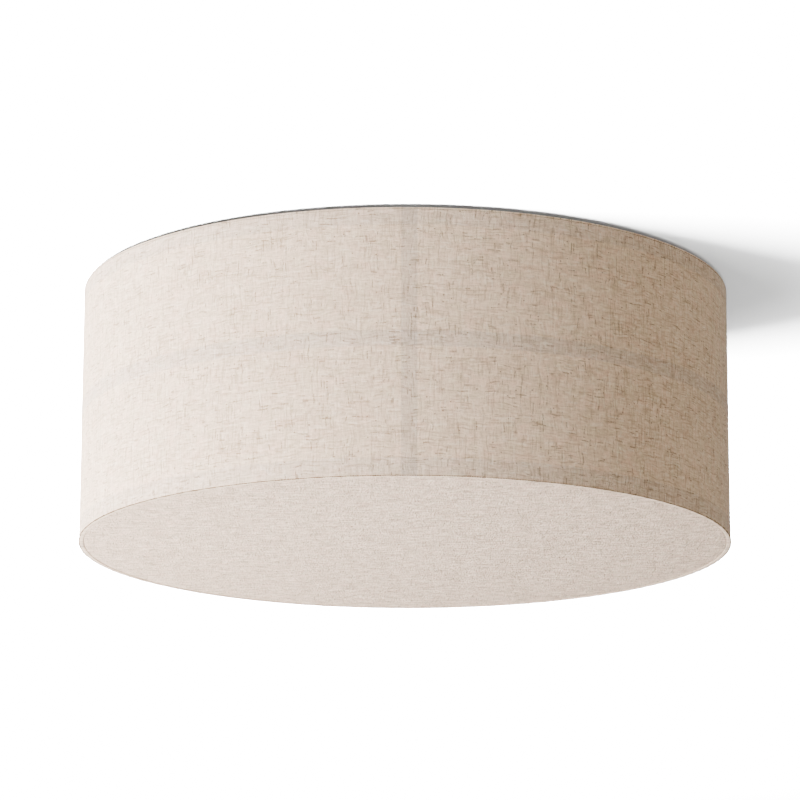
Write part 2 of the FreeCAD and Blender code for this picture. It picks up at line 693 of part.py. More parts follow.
mouth = S.holder_at + S.holder_len
lamp_holders = []
for k, a in enumerate(HEADINGS, 1):
    b = turned("lamp_holder_%d_body" % k, [
        (S.holder_at, S.nipple_r + 0.05), (S.holder_at, 16.5), (S.holder_at + 2.5, 18.5), (S.holder_at + 14, S.holder_r - 1),
        (S.holder_at + 18, S.holder_r), (mouth - 1.5, S.holder_r), (mouth, S.holder_r - 1.5), (mouth, S.shell_r + 0.1),
        (S.holder_at + 14, S.shell_r + 0.1), (S.holder_at + 14, S.pin_r + 0.06), (S.holder_at + 11, S.pin_r + 0.06),
        (S.holder_at + 11, 12.0), (S.holder_at + 4, 12.0), (S.holder_at + 4, S.nipple_r + 0.05)], axis="H_Axis")
    b.Placement = lamp_axis(a)
    node("lamp_holder_%d" % k, b)
    b = turned("screw_shell_%d_body" % k, [
        (S.holder_at + 14.05, 8.0), (S.holder_at + 14.05, S.shell_r), (mouth - 4.5, S.shell_r), (mouth - 4.5, S.shell_bore_r),
        (S.holder_at + 14.85, S.shell_bore_r), (S.holder_at + 14.85, 8.0)], axis="H_Axis")
    b.Placement = lamp_axis(a)
    node("screw_shell_%d" % k, b)
    # The sprung centre contact, in its resting place against the bulb.
    b = turned("contact_plunger_%d_body" % k, [
        (S.holder_at + 7.5, 0), (S.holder_at + 7.5, S.pin_r), (S.holder_at + 18.5, S.pin_r), (S.holder_at + 18.5, S.pin_head_r),
        (S.holder_at + 19.6, S.pin_head_r), (S.holder_at + 20, S.pin_head_r - 0.4), (S.holder_at + 20, 0)], axis="H_Axis")
    b.Placement = lamp_axis(a)
    node("contact_plunger_%d" % k, b)

copies("holder_nipples", lambda n: turned(n, [
    (37.0, S.nipple_bore_r), (37.0, S.nipple_r), (50.0, S.nipple_r), (50.0, S.nipple_bore_r)], axis="H_Axis"),
    [lamp_axis(a) for a in HEADINGS])


def nipple_nut(name):
    body = new_body(name)
    sk = new_sketch(body, "YZ_Plane", name + "_hex")
    hexagon(sk, 0, 0, 14.0)
    circle(sk, 0, 0, S.nipple_r + 0.02)
    pad(body, sk, 4.0)
    return body


copies("nipple_nuts", nipple_nut,
       [polar_at(float(plate_x) - 4.05, 0, -float(S.lamp_z), a) for a in HEADINGS])


def leaf_spring(name):
    """A bowed strip that presses the centre contact outwards: its ends bear on the
    holder's inner wall, and its middle, with a hole for the pin, behind the pin's head."""
    back = S.holder_at + 14.12
    front = S.holder_at + 18.28
    t = 0.35
    body = angle_plate(name, [
        (back, -6.6), (back + t, -6.6), (back + t, -5.7), (front, -2.9), (front, 2.9), (back + t, 5.7),
        (back + t, 6.6), (back, 6.6), (back, 5.5), (front - t, 2.7), (front - t, -2.7), (back, -5.5)], 6.4)
    sk = new_sketch(body, "YZ_Plane", name + "_pin_hole")
    circle(sk, 0, 0, S.pin_r + 0.2)
    pocket(body, sk)
    return body


copies("contact_springs", leaf_spring, [lamp_axis(a) for a in HEADINGS])

# ---------------------------------------------------------------- magnets
magnet_top = -(S.step_depth + S.pan_t) - 0.03
copies("magnet_cups", lambda n: turned(n, [
    (2.2, 0), (S.magnet_r, 0), (S.magnet_r, -S.magnet_t + 0.4), (S.magnet_r - 0.4, -S.magnet_t), (4.3, -S.magnet_t),
    (2.2, -S.magnet_t + 2.1)]),
    [polar_at(S.magnet_at, 0, magnet_top, a) for a in QUARTERS])


def flat_head_screw(name):
    body = turned(name, [(0, 0), (3.8, 0), (3.8, 0.2), (2.0, 2.0), (2.0, 7.0), (0, 7.0)])
    sk = new_sketch(body, "XY_Plane", name + "_cross")
    outline(sk, [(-2, -0.5), (-0.5, -0.5), (-0.5, -2), (0.5, -2), (0.5, -0.5), (2, -0.5),
                 (2, 0.5), (0.5, 0.5), (0.5, 2), (-0.5, 2), (-0.5, 0.5), (-2, 0.5)])
    pocket(body, sk, 1.2, into_plus=True)
    return body


copies("magnet_screws", flat_head_screw,
       [polar_at(S.magnet_at, 0, float(magnet_top) - float(S.magnet_t) + 0.1, a) for a in QUARTERS])
copies("magnet_nuts", lambda n: hex_nut(n, 7.0, 2.2, 2.05),
       [polar_at(S.magnet_at, 0, -float(S.step_depth) + 0.03, a) for a in QUARTERS])

# ---------------------------------------------------------------- bulbs
for k, a in enumerate(HEADINGS, 1):
    cap_end = S.cap_at + S.cap_len
    b = turned("bulb_cap_%d_body" % k, [
        (S.cap_at - 1.5, 8.0), (S.cap_at, 11.6), (S.cap_at + 1.2, S.cap_r), (cap_end, S.cap_r), (cap_end, S.cap_r - 0.5),
        (S.cap_at + 1.5, S.cap_r - 0.5), (S.cap_at + 0.4, 11.2), (S.cap_at - 1.0, 8.0)], axis="H_Axis")
    b.Placement = lamp_axis(a)
    node("bulb_cap_%d" % k, b)
    b = turned("bulb_contact_%d_body" % k, [
        (S.cap_at - 6.7, 0), (S.cap_at - 6.7, 3.6), (S.cap_at - 5.6, 4.7), (S.cap_at - 4.6, 4.7), (S.cap_at - 1.6, 7.95),
        (S.cap_at + 1.0, 7.95), (S.cap_at + 1.0, 0)], axis="H_Axis")
    b.Placement = lamp_axis(a)
    node("bulb_contact_%d" % k, b)
    b = turned("bulb_housing_%d_body" % k, [
        (cap_end - 12.0, 10.5), (cap_end - 12.0, S.cap_r - 0.55), (cap_end + 0.05, S.cap_r - 0.55), (cap_end + 0.05, 14.2),
        (cap_end + 3.0, 14.6), (cap_end + 10.0, 16.4), (cap_end + 18.0, 19.2), (cap_end + 24.0, 21.6),
        (cap_end + 26.0, 21.9), (cap_end + 26.0, 20.4), (cap_end + 24.0, 20.0), (cap_end + 17.0, 17.4),
        (cap_end + 9.0, 14.4), (cap_end + 2.0, 11.5)], axis="H_Axis")
    b.Placement = lamp_axis(a)
    node("bulb_housing_%d" % k, b)
    ball = doc.addObject("Part::Sphere", "bulb_globe_%d_ball" % k)
    bind(ball, "Radius", S.globe_r)
    hollow = doc.addObject("Part::Sphere", "bulb_globe_%d_hollow" % k)
    bind(hollow, "Radius", S.globe_r - 1.0)
    neck = doc.addObject("Part::Box", "bulb_globe_%d_neck" % k)
    bind(neck, "Length", S.globe_r * 2)
    bind(neck, "Width", S.globe_r * 3)
    bind(neck, "Height", S.globe_r * 3)
    neck.Placement = at(x=-float(S.globe_r) * 2 - 23.9, y=-1.5 * float(S.globe_r), z=-1.5 * float(S.globe_r))
    away = doc.addObject("Part::MultiFuse", "bulb_globe_%d_away" % k)
    away.Shapes = [hollow, neck]
    globe = doc.addObject("Part::Cut", "bulb_globe_%d_cut" % k)
    globe.Base, globe.Tool = ball, away
    globe.Placement = polar_at(S.globe_at, 0, -float(S.lamp_z), a)
    node("bulb_globe_%d" % k, globe)

# ---------------------------------------------------------------- check and write
doc.recompute()
bad = [o.Name + " " + ",".join(o.State) for o in doc.Objects if "Invalid" in o.State or "Error" in o.State]
for label, obj in NODES:
    if obj.Shape.isNull() or not obj.Shape.isValid() or not obj.Shape.Solids:
        bad.append(label + " has no valid shape")
    if obj.Label != label:
        bad.append(label + " is labelled " + obj.Label)
if bad:
    raise RuntimeError("; ".join(bad))
if len(NODES) > 60:
    raise RuntimeError("%d nodes" % len(NODES))
os.makedirs("parts", exist_ok=True)
for label, obj in NODES:
    obj.Shape.exportStep("parts/%s.step" % label)
everything = FreeCAD.BoundBox()
for label, obj in NODES:
    everything.add(obj.Shape.BoundBox)
print("%d nodes, %d solids, box %s" % (len(NODES), sum(len(o.Shape.Solids) for l, o in NODES), everything))
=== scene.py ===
import json
import math

import bpy
from mathutils import Matrix, Vector
from mathutils import noise as mnoise


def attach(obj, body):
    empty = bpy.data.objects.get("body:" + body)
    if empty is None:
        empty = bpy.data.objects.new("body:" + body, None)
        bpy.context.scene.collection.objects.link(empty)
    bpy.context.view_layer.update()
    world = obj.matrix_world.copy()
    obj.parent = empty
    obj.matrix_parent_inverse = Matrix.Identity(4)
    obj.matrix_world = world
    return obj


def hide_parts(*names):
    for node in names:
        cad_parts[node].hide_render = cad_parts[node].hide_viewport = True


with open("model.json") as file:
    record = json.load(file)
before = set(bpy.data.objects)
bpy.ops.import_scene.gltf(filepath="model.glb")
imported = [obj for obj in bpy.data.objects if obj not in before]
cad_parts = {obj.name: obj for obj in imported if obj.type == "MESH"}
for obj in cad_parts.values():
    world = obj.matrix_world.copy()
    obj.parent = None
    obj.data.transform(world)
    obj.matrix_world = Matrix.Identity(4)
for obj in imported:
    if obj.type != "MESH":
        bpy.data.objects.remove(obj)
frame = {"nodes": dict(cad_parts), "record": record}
nodes = frame["nodes"]
scene = bpy.context.scene
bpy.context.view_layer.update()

MM = 0.001

# ---------------------------------------------------------------- camera
# The viewing angle: nearly level with the floor, looking up at the underside, through a long lens.
yaw, pitch, roll = math.radians(-0.019), math.radians(13.826), math.radians(0.121)
fwd = Vector((math.sin(yaw) * math.cos(pitch), math.cos(yaw) * math.cos(pitch), math.sin(pitch)))
right = Vector((math.cos(yaw), -math.sin(yaw), 0.0))
up = right.cross(fwd)
r = math.cos(roll) * right + math.sin(roll) * up
u = -math.sin(roll) * right + math.cos(roll) * up
cam = bpy.data.cameras.new("camera")
cam.lens, cam.sensor_width = 179.03, 36.0
cam.clip_start, cam.clip_end = 0.05, 60.0
cam_obj = bpy.data.objects.new("camera", cam)
scene.collection.objects.link(cam_obj)
# the whole view is turned a little about the drum's axis, so the front rib shows right of the middle
TURN = -0.6
cam_obj.matrix_world = Matrix.Rotation(math.radians(TURN), 4, "Z") @ Matrix((
    (r.x, u.x, -fwd.x, -0.0030),
    (r.y, u.y, -fwd.y, -3.0),
    (r.z, u.z, -fwd.z, -0.8216),
    (0, 0, 0, 1)))
scene.camera = cam_obj


# ---------------------------------------------------------------- material building
class Material:
    """One node material, built around a Principled shader."""

    def __init__(self, name):
        self.mat = bpy.data.materials.new(name)
        self.mat.use_nodes = True
        self.tree = self.mat.node_tree
        self.tree.nodes.clear()
        self.out = self.add("ShaderNodeOutputMaterial")
        self.shader = self.add("ShaderNodeBsdfPrincipled")
        self.tree.links.new(self.shader.outputs[0], self.out.inputs[0])

    def add(self, kind, **props):
        n = self.tree.nodes.new(kind)
        for k, v in props.items():
            setattr(n, k, v)
        return n

    def put(self, sock, v):
        if isinstance(v, bpy.types.NodeSocket):
            self.tree.links.new(v, sock)
        elif isinstance(v, (tuple, list)) and sock.type == "RGBA" and len(v) == 3:
            sock.default_value = (v[0], v[1], v[2], 1.0)
        else:
            sock.default_value = v

    def set(self, **values):
        for k, v in values.items():
            self.put(self.shader.inputs[k.replace("_", " ")], v)

    def math(self, op, a, b=None, c=None, clamp=False):
        n = self.add("ShaderNodeMath", operation=op, use_clamp=clamp)
        for i, v in enumerate((a, b, c)):
            if v is not None:
                self.put(n.inputs[i], v)
        return n.outputs[0]

    def vec(self, x, y, z=0.0):
        n = self.add("ShaderNodeCombineXYZ")
        for i, v in enumerate((x, y, z)):
            self.put(n.inputs[i], v)
        return n.outputs[0]

    def place(self, scale=1000.0):
        """The place on the piece in millimetres."""
        n = self.add("ShaderNodeVectorMath", operation="SCALE")
        self.put(n.inputs[0], self.add("ShaderNodeTexCoord").outputs["Object"])
        self.put(n.inputs["Scale"], scale)
        return n.outputs[0]

    def split(self, v):
        n = self.add("ShaderNodeSeparateXYZ")
        self.put(n.inputs[0], v)
        return n.outputs[0], n.outputs[1], n.outputs[2]

    def noise(self, v, scale, detail=2.0, rough=0.5, dims="3D", twist=0.0):
        n = self.add("ShaderNodeTexNoise", noise_dimensions=dims)
        self.put(n.inputs["Vector"], v)
        self.put(n.inputs["Scale"], scale)
        self.put(n.inputs["Detail"], detail)
        self.put(n.inputs["Roughness"], rough)
        self.put(n.inputs["Distortion"], twist)
        return n.outputs[0]

    def cells(self, v, scale=1.0, dims="2D", spread=1.0, feature="F1"):
        n = self.add("ShaderNodeTexVoronoi", voronoi_dimensions=dims, feature=feature)
        self.put(n.inputs["Vector"], v)
        self.put(n.inputs["Scale"], scale)
        self.put(n.inputs["Randomness"], spread)
        return n.outputs["Distance"], n.outputs["Color"]

    def speckle(self, v):
        n = self.add("ShaderNodeTexWhiteNoise", noise_dimensions="2D")
        self.put(n.inputs["Vector"], v)
        return n.outputs["Value"]

    def span(self, v, a, b, c=0.0, d=1.0, smooth=False):
        n = self.add("ShaderNodeMapRange", interpolation_type="SMOOTHSTEP" if smooth else "LINEAR")
        n.clamp = True
        for i, x in enumerate((v, a, b, c, d)):
            self.put(n.inputs[i], x)
        return n.outputs[0]

    def mix(self, fac, a, b, blend="MIX"):
        n = self.add("ShaderNodeMix", data_type="RGBA", blend_type=blend)
        self.put(n.inputs[0], fac)
        self.put(n.inputs[6], a)
        self.put(n.inputs[7], b)
        return n.outputs[2]

    def ramp(self, fac, stops):
        n = self.add("ShaderNodeValToRGB")
        e = n.color_ramp.elements
        while len(e) < len(stops):
            e.new(0.5)
        for i, (p, c) in enumerate(stops):
            e[i].position = p
            e[i].color = (c[0], c[1], c[2], 1.0)
        self.put(n.inputs[0], fac)
        return n.outputs[0]

    def bump(self, height, distance, strength=1.0, under=None):
        n = self.add("ShaderNodeBump")
        self.put(n.inputs["Strength"], strength)
        self.put(n.inputs["Distance"], distance)
        self.put(n.inputs["Height"], height)
        if under is not None:
            self.put(n.inputs["Normal"], under)
        return n.outputs[0]


def linen(name, wall, tint=(1.0, 1.0, 1.0)):
    """Natural slub linen: 0.8 mm threads that vary in tone, some of them brown flax for part of their length. On the
    wall, the frame's shadows are painted in as darker, greyer bands.
    """
    m = Material(name)
    x, y, z = m.split(m.place())
    if wall:
        s = m.math("MULTIPLY", m.math("ARCTAN2", x, m.math("MULTIPLY", y, -1.0)), 250.0)
        h = z
    else:
        s, h = x, y
    flat = m.vec(s, h)
    # slightly wandering, unevenly spaced threads
    ws = m.math("MULTIPLY_ADD", m.noise(flat, 0.045, 2.0, dims="2D"), 5.0, -2.5)
    wh = m.math("MULTIPLY_ADD", m.noise(m.vec(m.math("ADD", s, 317.0), h), 0.04, 2.0, dims="2D"), 5.0, -2.5)
    s2, h2 = m.math("ADD", s, ws), m.math("ADD", h, wh)
    pu, pv = m.math("DIVIDE", s2, 0.8), m.math("DIVIDE", h2, 0.8)
    iu, iv = m.math("FLOOR", pu), m.math("FLOOR", pv)

    def along(length, seed, pitch=0.8, detail=2.0):
        """A value that changes along each weft thread and jumps from thread to thread."""
        row = iv if pitch == 0.8 else m.math("FLOOR", m.math("DIVIDE", h2, pitch))
        return m.noise(m.vec(m.math("DIVIDE", s2, length), m.math("MULTIPLY_ADD", row, 2.37, seed)), 1.0, detail, 0.55, "2D")

    def upward(length, seed, pitch=0.8, detail=2.0):
        """The same for the warp threads."""
        col = iu if pitch == 0.8 else m.math("FLOOR", m.math("DIVIDE", s2, pitch))
        return m.noise(m.vec(m.math("MULTIPLY_ADD", col, 2.37, seed), m.math("DIVIDE", h2, length)), 1.0, detail, 0.55, "2D")

    weft, warp = along(9.0, 0.0), upward(8.0, 51.0)
    soft = (6.0, 1.5) if wall else (12.0, 4.4)
    weft2 = m.noise(m.vec(m.math("DIVIDE", s2, soft[0]), m.math("DIVIDE", h2, soft[1])), 1.0, 2.0, 0.6, "2D")
    warp2 = m.noise(m.vec(m.math("DIVIDE", s2, 1.5), m.math("DIVIDE", h2, 6.0)), 1.0, 2.0, 0.6, "2D")
    grain = m.speckle(m.vec(iu, iv))
    blotch = m.noise(flat, 0.09, 3.0, 0.6, "2D")
    cloud = m.noise(m.vec(m.math("ADD", s, 90.0), h), 0.022, 2.0, 0.5, "2D")

    def part(v, gain):
        return m.math("MULTIPLY_ADD", v, gain, -0.5 * gain)

    t = 0.53
    for v, gain in ((weft, 0.66), (warp, 0.52), (weft2, 0.42 if wall else 1.15), (warp2, 0.34), (grain, 0.10), (blotch, 0.24), (cloud, 0.10)):
        t = m.math("ADD", t, part(v, gain))

    # slubs gather in some places more than in others
    crowd = m.math("MULTIPLY_ADD", m.noise(m.vec(m.math("ADD", s, 700.0), h), 0.06, 2.0, 0.5, "2D"), 0.10, -0.05)
    broken = m.span(m.noise(m.vec(m.math("DIVIDE", s2, 1.3), m.math("DIVIDE", h2, 1.3)), 1.0, 1.0, dims="2D"), 0.34, 0.48, 0.45, 1.0)

    def slub(v, edge, width=0.035):
        return m.span(m.math("ADD", v, crowd), edge, edge + width)

    brown = m.math("MULTIPLY", slub(along(26.0, 211.0, 0.8, 1.5), 0.645), broken)
    dark = m.math("MULTIPLY", slub(along(17.0, 431.0, 0.9, 1.5), 0.705), broken)
    brown_up = m.math("MULTIPLY", slub(upward(26.0, 613.0, 0.8, 1.5), 0.632), broken)
    dark_up = m.math("MULTIPLY", slub(upward(17.0, 877.0, 0.9, 1.5), 0.700), broken)
    pale = slub(along(16.0, 1033.0, 1.3), 0.640)
    pale_up = slub(upward(16.0, 1231.0, 1.1), 0.650)
    d, c = m.cells(m.vec(m.math("DIVIDE", s2, 6.0), m.math("DIVIDE", h2, 4.5)), 1.0, "2D", 0.9)
    neps = m.math("MULTIPLY", m.span(d, 0.14, 0.07), m.math("LESS_THAN", m.split(c)[0], 0.075))

    colour = m.ramp(t, [
        (0.0, tuple(a * b for a, b in zip((0.315, 0.236, 0.167), tint))),
        (0.30, tuple(a * b for a, b in zip((0.485, 0.377, 0.278), tint))),
        (0.52, tuple(a * b for a, b in zip((0.620, 0.492, 0.374), tint))),
        (0.74, tuple(a * b for a, b in zip((0.735, 0.600, 0.470), tint))),
        (1.0, tuple(a * b for a, b in zip((0.860, 0.725, 0.590), tint)))])
    quiet = 1.0 if wall else 0.95
    for mask, share, shade in ((pale, 0.42, (0.80, 0.695, 0.575)), (pale_up, 0.34, (0.80, 0.70, 0.58)),
                               (brown, 0.55, (0.385, 0.285, 0.190)), (brown_up, 0.58, (0.375, 0.285, 0.198)),
                               (dark, 0.74, (0.285, 0.208, 0.136)), (dark_up, 0.76, (0.275, 0.206, 0.140)),
                               (neps, 0.80, (0.215, 0.150, 0.098))):
        colour = m.mix(m.math("MULTIPLY", mask, share * quiet), colour, shade)
    # pinkish and greenish patches
    hue = m.noise(m.vec(m.math("DIVIDE", s, 13.0), m.math("DIVIDE", h, 9.0)), 1.0, 2.0, 0.5, "2D")
    colour = m.mix(m.span(hue, 0.52, 0.75, 0.0, 0.6), colour, (1.03, 0.955, 0.955), "MULTIPLY")
    colour = m.mix(m.span(hue, 0.48, 0.25, 0.0, 0.6), colour, (0.96, 1.0, 0.955), "MULTIPLY")
    if wall:
        # painted shade: the shadows of the frame's rings and ribs behind the cloth, painted into its colour as faint
        # darker, greyer bands
        def strip(v, a, b, soft):
            return m.math("MULTIPLY", m.span(v, a - soft, a + soft, 0.0, 1.0, True), m.span(v, b - soft, b + soft, 1.0, 0.0, True))

        middle = strip(h, -104.6, -92.8, 0.7)
        low = strip(h, -198.9, -186.4, 0.7)
        high = strip(h, -14.6, -1.0, 0.9)
        # quarter turns folded onto one, so that the painted shadows of all four ribs show alike
        quarter = m.math("ABSOLUTE", m.math("SUBTRACT", m.math("MODULO", m.math("ADD", m.math("ABSOLUTE", s), 196.35), 392.70), 196.35))
        rib = m.span(quarter, 5.3, 6.4, 1.0, 0.0, True)
        patchy = m.span(m.noise(flat, 0.12, 2.0, dims="2D"), 0.3, 0.7, 0.8, 1.0)
        # each band multiplies the cloth's colour by a darker, greyer tint: painted shade, uneven along the band
        colour = m.mix(m.math("MULTIPLY", middle, patchy), colour, (0.862, 0.888, 0.945), "MULTIPLY")
        colour = m.mix(m.math("MULTIPLY", rib, patchy), colour, (0.795, 0.812, 0.848), "MULTIPLY")
        colour = m.mix(m.math("MULTIPLY", m.math("MAXIMUM", high, low), patchy), colour, (0.885, 0.905, 0.950), "MULTIPLY")
    m.set(Base_Color=colour, Roughness=0.88, Specular_IOR_Level=0.18, Sheen_Weight=0.10, Sheen_Roughness=0.45)
    m.set(Diffuse_Roughness=0.5)

    # thread relief: rounded threads, one over the other in turn
    def round_thread(v):
        f = m.math("MULTIPLY_ADD", m.math("FRACT", v), 2.0, -1.0)
        return m.math("SUBTRACT", 1.0, m.math("MULTIPLY", f, f))

    over = m.math("MODULO", m.math("ABSOLUTE", m.math("ADD", iu, iv)), 2.0)
    hu, hv = round_thread(pu), round_thread(pv)
    weave = m.math("ADD", m.math("MULTIPLY", hu, over), m.math("MULTIPLY", hv, m.math("SUBTRACT", 1.0, over)))
    height = m.math("MULTIPLY", weave, 0.25)
    gains = (0.8, 0.6, 0.9, 0.7) if wall else (0.8, 0.6, 4.0, 1.2)
    for v, gain in zip((weft, warp, weft2, warp2), gains):
        height = m.math("MULTIPLY_ADD", v, gain, height)
    for v, gain in ((brown, 0.6), (pale, 0.9), (dark, 1.0), (pale_up, 0.6), (neps, 0.8)):
        height = m.math("MULTIPLY_ADD", v, gain, height)
    m.set(Normal=m.bump(height, 0.00020 if wall else 0.00050, 1.0))
    return m.mat


def painted(name, colour, rough=0.35, peel=0.6, coat=0.0, subsurface=0.0, spec=0.5):
    """Enamel, powder coat or moulded plastic: faint orange peel, dust and uneven gloss."""
    m = Material(name)
    p = m.place()
    dust = m.noise(p, 0.03, 4.0, 0.6)
    fine = m.noise(p, 1.1, 2.0, 0.5)
    c = m.mix(m.span(dust, 0.35, 0.75, 0.0, 0.35), colour, tuple(v * 0.90 for v in colour))
    m.set(Base_Color=c, Specular_IOR_Level=spec, Coat_Weight=coat, Coat_Roughness=0.12)
    m.set(Roughness=m.span(m.math("ADD", dust, m.math("MULTIPLY", fine, 0.3)), 0.3, 1.0, rough * 0.85, rough * 1.25))
    if subsurface:
        m.set(Subsurface_Weight=subsurface, Subsurface_Scale=0.004, Subsurface_Radius=(1.0, 0.92, 0.84))
    m.set(Normal=m.bump(m.noise(p, 0.9, 1.0, 0.5), 0.00004 * peel, 1.0))
    return m.mat


def metal(name, colour, rough=0.3, mottled=0.2, brushed=0.0, tint=None):
    """Plated or bare metal: cloudy plating, fine scratches and a little tarnish."""
    m = Material(name)
    p = m.place()
    cloud = m.noise(p, 0.12, 4.0, 0.6)
    d, c = m.cells(p, 0.35, "3D", 1.0)
    spangle = m.split(c)[0]
    tint = tint or tuple(v * 0.78 for v in colour)
    x, y, z = m.split(p)
    scratch = m.noise(m.vec(m.math("MULTIPLY", x, 0.25), m.math("MULTIPLY", y, 3.2), m.math("MULTIPLY", z, 3.2)), 1.0, 3.0, 0.7)
    base = m.mix(m.span(cloud, 0.40, 0.70, 0.0, mottled * 2), colour, tint)
    base = m.mix(m.math("MULTIPLY", spangle, mottled * 0.5), base, tuple(v * 0.88 for v in colour))
    m.set(Base_Color=base, Metallic=1.0)
    m.set(Roughness=m.span(m.math("ADD", m.math("MULTIPLY", cloud, 0.6), m.math("MULTIPLY", scratch, 0.4)), 0.3, 0.7, rough * 0.75, rough * 1.35))
    m.set(Normal=m.bump(scratch, 0.00003 * (0.4 + brushed), 1.0))
    return m.mat


def soft_plastic(name, colour, rough=0.5):
    """Wire insulation and rubber: matt, slightly smeared, with fine drawing marks."""
    m = Material(name)
    p = m.place()
    n = m.noise(p, 0.35, 4.0, 0.6)
    c = m.mix(m.span(n, 0.35, 0.7, 0.0, 0.5), colour, tuple(v * 0.72 + 0.01 for v in colour))
    m.set(Base_Color=c, Specular_IOR_Level=0.4)
    m.set(Roughness=m.span(n, 0.3, 0.7, rough * 0.85, min(1.0, rough * 1.2)))
    m.set(Normal=m.bump(m.noise(p, 2.2, 2.0, 0.5), 0.00003, 1.0))
    return m.mat


def striped(name):
    """Earth insulation: green and yellow bands wound round the lead."""
    m = Material(name)
    x, y, z = m.split(m.place())
    w = m.math("SINE", m.math("ADD", m.math("MULTIPLY", y, 0.55), m.math("MULTIPLY", m.math("ARCTAN2", m.math("SUBTRACT", x, 28.0), z), 1.0)))
    c = m.mix(m.span(w, -0.08, 0.08), (0.045, 0.245, 0.055), (0.73, 0.63, 0.05))
    m.set(Base_Color=c, Roughness=0.42)
    m.set(Normal=m.bump(m.noise(m.place(), 2.2, 2.0, 0.5), 0.00003, 1.0))
    return m.mat


def opal(name, colour, rough=0.35, depth=0.004, weight=0.35):
    """Opal plastic: satin skin over a milky body."""
    m = Material(name)
    p = m.place()
    n = m.noise(p, 0.05, 3.0, 0.55)
    m.set(Base_Color=m.mix(m.span(n, 0.3, 0.75, 0.0, 0.4), colour, tuple(v * 0.95 for v in colour)))
    m.set(Subsurface_Weight=weight, Subsurface_Scale=depth, Subsurface_Radius=(1.0, 0.92, 0.84), Specular_IOR_Level=0.45)
    m.set(Roughness=m.span(n, 0.3, 0.7, rough * 0.9, rough * 1.15))
    m.set(Normal=m.bump(m.noise(p, 1.4, 1.0, 0.5), 0.00002, 1.0))
    return m.mat


MATERIALS = {
    "liner_film": opal("liner_film", (0.86, 0.84, 0.79), 0.5, 0.002, 0.2),
    "frame_steel": painted("frame_steel", (0.66, 0.655, 0.63), 0.42, 1.0),
    "zinc_steel": metal("zinc_steel", (0.60, 0.61, 0.615), 0.34, 0.30, 0.3, (0.55, 0.53, 0.47)),
    "spring_steel": metal("spring_steel", (0.44, 0.45, 0.47), 0.25, 0.15, 0.8),
    "rivet_aluminium": metal("rivet_aluminium", (0.76, 0.765, 0.77), 0.30, 0.15, 0.3),
    "opal_acrylic": opal("opal_acrylic", (0.88, 0.875, 0.85), 0.40, 0.006, 0.4),
    "white_enamel": painted("white_enamel", (0.80, 0.795, 0.765), 0.33, 1.0, coat=0.15),
    "nickel": metal("nickel", (0.66, 0.635, 0.595), 0.16, 0.12, 0.2),
    "brass": metal("brass", (0.74, 0.52, 0.235), 0.24, 0.25, 0.3, (0.50, 0.33, 0.14)),
    "earth_green": metal("earth_green", (0.10, 0.31, 0.13), 0.32, 0.25, 0.3, (0.20, 0.30, 0.12)),
    "earth_insulation": striped("earth_insulation"),
    "hub_ceramic": painted("hub_ceramic", (0.78, 0.755, 0.69), 0.20, 0.8, coat=0.6, subsurface=0.08),
    "black_rubber": soft_plastic("black_rubber", (0.022, 0.022, 0.023), 0.72),
    "brown_insulation": soft_plastic("brown_insulation", (0.115, 0.045, 0.020), 0.42),
    "blue_insulation": soft_plastic("blue_insulation", (0.018, 0.085, 0.32), 0.42),
    "holder_plastic": painted("holder_plastic", (0.80, 0.795, 0.77), 0.27, 0.6, coat=0.2, subsurface=0.06),
    "cap_insulator": painted("cap_insulator", (0.020, 0.018, 0.018), 0.15, 0.5, coat=0.4),
    "bulb_plastic": painted("bulb_plastic", (0.82, 0.815, 0.80), 0.42, 0.8, subsurface=0.06),
    "bulb_opal": opal("bulb_opal", (0.90, 0.89, 0.86), 0.33, 0.005, 0.45),
    "linen": linen("linen", True),
    "diffuser_linen": linen("diffuser_linen", False, (1.0, 0.97, 0.98)),
}
for part in frame["record"]["subparts"]:
    mesh = nodes[part["node"]].data
    mesh.materials.clear()
    mesh.materials.append(MATERIALS[part["material_slot"]])
# the hem yarns' dark brown is partly their own colour and partly painted shade of the furrow they lie in
hem_yarn_painted_shade = soft_plastic("hem_yarn_painted_shade", (0.185, 0.122, 0.066), 0.85)


# ---------------------------------------------------------------- mesh building
def new_mesh(name, verts, faces, material, smooth=True):
    mesh = bpy.data.meshes.new(name)
    mesh.from_pydata([tuple(v) for v in verts], [], [tuple(f) for f in faces])
    mesh.validate()
    mesh.materials.append(material)
    if smooth:
        mesh.polygons.foreach_set("use_smooth", [True] * len(mesh.polygons))
    mesh.update()
    obj = bpy.data.objects.new(name, mesh)
    scene.collection.objects.link(obj)
    return obj


def closed_turn(name, angles, rings, material):
    """rings[i][k]: the points of profile station i at angle k. Both ways round are closed."""
    n, m = len(rings), len(angles)
    verts = [p for ring in rings for p in ring]
    faces = []
    for i in range(n):
        j = (i + 1) % n
        for k in range(m):
            q = (k + 1) % m
            faces.append((i * m + k, j * m + k, j * m + q, i * m + q))
    return new_mesh(name, verts, faces, material)


def arc(cx, cz, rad, a0, a1, n):
    return [(cx + rad * math.cos(math.radians(a0 + (a1 - a0) * i / n)),
             cz + rad * math.sin(math.radians(a0 + (a1 - a0) * i / n))) for i in range(n + 1)]


def smooth01(t):
    t = min(1.0, max(0.0, t))
    return t * t * (3 - 2 * t)


# ---------------------------------------------------------------- the drum's cloth
# One length of linen, its long edges folded in over the top and bottom rings, its ends
# lapped at the back. Profile stations are (radius, height, skin): skin 1 is the outside.
R_OUT, R_IN, R_FLAP_OUT, R_FLAP_IN = 250.0, 249.4, 247.35, 246.75
TOP, BOTTOM = -1.5, -200.0
profile = []


def station(rad, z, skin):
    profile.append((rad, z, skin))


